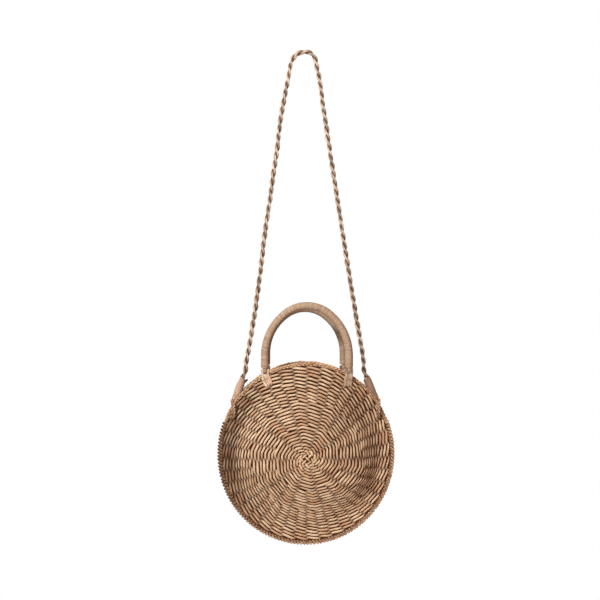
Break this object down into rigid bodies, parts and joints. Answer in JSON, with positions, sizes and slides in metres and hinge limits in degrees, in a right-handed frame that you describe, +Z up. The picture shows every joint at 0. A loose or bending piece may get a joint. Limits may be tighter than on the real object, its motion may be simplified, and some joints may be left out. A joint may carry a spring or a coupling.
{
  "type": "round woven handbag",
  "caption": "Round twined straw bag with arched wrapped handles, a rope strap whipped to the borders, a lined inside and a magnetic snap at the mouth.",
  "frame": {"origin": "inside of the top of the strap's loop, where a hook or a hand carries the bag", "axes": "+Z up, -Y towards the front panel, +X to the right as the front is seen"},
  "size_m": [0.2688, 0.0782, 0.7436],
  "materials": {
    "straw_weave": "matte",
    "straw_braid": "matte",
    "lacing_cord": "matte",
    "cane": "satin",
    "straw_wrap": "matte",
    "straw_tie": "matte",
    "straw_rope": "matte",
    "whipping_cord": "matte",
    "cotton": "matte",
    "snap_metal": "satin"
  },
  "bodies": {
    "strap": {"strap": "straw_rope", "left_eye": "straw_rope", "right_eye": "straw_rope", "left_whipping": "whipping_cord", "right_whipping": "whipping_cord"},
    "bag": {"front_panel": "straw_weave", "back_panel": "straw_weave", "front_rim": "straw_braid", "back_rim": "straw_braid", "seam_lacing": "lacing_cord", "front_left_tie": "straw_tie", "front_right_tie": "straw_tie", "back_left_tie": "straw_tie", "back_right_tie": "straw_tie", "lining_front": "cotton", "lining_back": "cotton", "inner_pocket": "cotton", "snap_socket": "snap_metal", "snap_stud": "snap_metal", "snap_front_washer": "snap_metal", "snap_back_washer": "snap_metal"},
    "front_handle": {"front_handle_core": "cane", "front_handle_wrap": "straw_wrap"},
    "back_handle": {"back_handle_core": "cane", "back_handle_wrap": "straw_wrap"}
  },
  "joints": [
    {"name": "bag_swing", "type": "hinge", "parent": "strap", "child": "bag", "pos_m": [0, 0, -0.53262], "axis": [1, 0, 0], "range_deg": [-135, 135]},
    {"name": "front_handle_fold", "type": "hinge", "parent": "bag", "child": "front_handle", "pos_m": [0, -0.02797, -0.4719], "axis": [1, 0, 0], "range_deg": [-12, 100]},
    {"name": "back_handle_fold", "type": "hinge", "parent": "bag", "child": "back_handle", "pos_m": [0, 0.02899, -0.46974], "axis": [-1, 0, 0], "range_deg": [-12, 100]}
  ]
}
